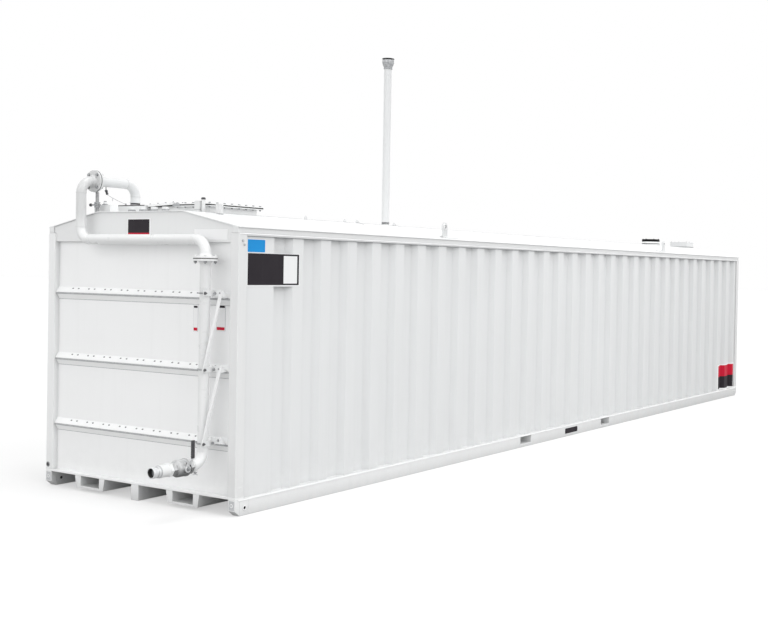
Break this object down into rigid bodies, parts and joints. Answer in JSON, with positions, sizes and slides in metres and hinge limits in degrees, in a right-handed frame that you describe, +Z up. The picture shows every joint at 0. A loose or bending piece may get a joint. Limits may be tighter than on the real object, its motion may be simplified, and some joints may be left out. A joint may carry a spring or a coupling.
{
  "type": "diesel_storage_tank",
  "caption": "Skid-mounted double-skinned diesel storage tank with corrugated sides, shallow gable roof, tall vent and external fill pipework with a lever valve",
  "frame": {"origin": "middle of the tank on the ground, on the underside of the centre runner", "axes": "X across the tank toward the side with the riser pipe, Y along the tank away from the pipework end, Z up"},
  "size_m": [2.438, 12.842, 4.538],
  "materials": {
    "white_paint": "white gloss enamel over plate steel, lightly dusty",
    "pipe_paint": "white gloss enamel on pipe",
    "underside_paint": "dusty grey-white paint under the floor",
    "zinc_steel": "bright zinc plating",
    "grey_steel": "mid grey galvanised finish",
    "valve_steel": "cast body, grey, slightly rough",
    "adapter_steel": "cast aluminium, satin",
    "lever_black": "black vinyl and black paint",
    "black_rubber": "black rubber",
    "sign_dark": "blank dark enamel plate with a pale border"
  },
  "bodies": {
    "tank": {"base_rails": "white_paint", "rail_ends": "white_paint", "rail_toes": "white_paint", "centre_runner": "white_paint", "cross_beams": "underside_paint", "fork_pockets": "underside_paint", "end_pockets": "white_paint", "tank_floor": "underside_paint", "end_sills": "white_paint", "corner_posts": "white_paint", "end_headers": "white_paint", "top_rails": "white_paint", "side_wall_right": "white_paint", "side_wall_left": "white_paint", "front_wall": "white_paint", "rear_wall": "white_paint", "end_ribs": "white_paint", "roof_sheet": "white_paint", "pipe_brackets": "pipe_paint", "pipe_ubolts": "zinc_steel", "pipe_braces": "pipe_paint", "fill_riser": "pipe_paint", "fill_header_pipe": "pipe_paint", "crossover_pipe": "pipe_paint", "flange_gaskets": "black_rubber", "roof_inlet": "pipe_paint", "pipe_support": "grey_steel", "drain_plug": "zinc_steel", "valve_body": "valve_steel", "hose_adapter": "adapter_steel", "vent_collar": "white_paint", "vent_seal": "black_rubber", "vent_pipe": "pipe_paint", "vent_cap": "grey_steel", "manway_collar": "white_paint", "manway_gasket": "black_rubber", "manway_lid": "white_paint", "roof_boxes": "white_paint", "roof_plugs": "white_paint", "lifting_lugs": "white_paint", "rear_hatch_neck": "white_paint", "rear_hatch_lid": "lever_black", "rear_box": "white_paint", "sign_plates": "sign_dark"},
    "valve_lever": {"valve_lever": "lever_black"}
  },
  "joints": [
    {"name": "valve_lever_turn", "type": "hinge", "parent": "tank", "child": "valve_lever", "pos_m": [0.939, -6.44, 0.435], "axis": [1, 0, 0], "range_deg": [0, 90]}
  ]
}
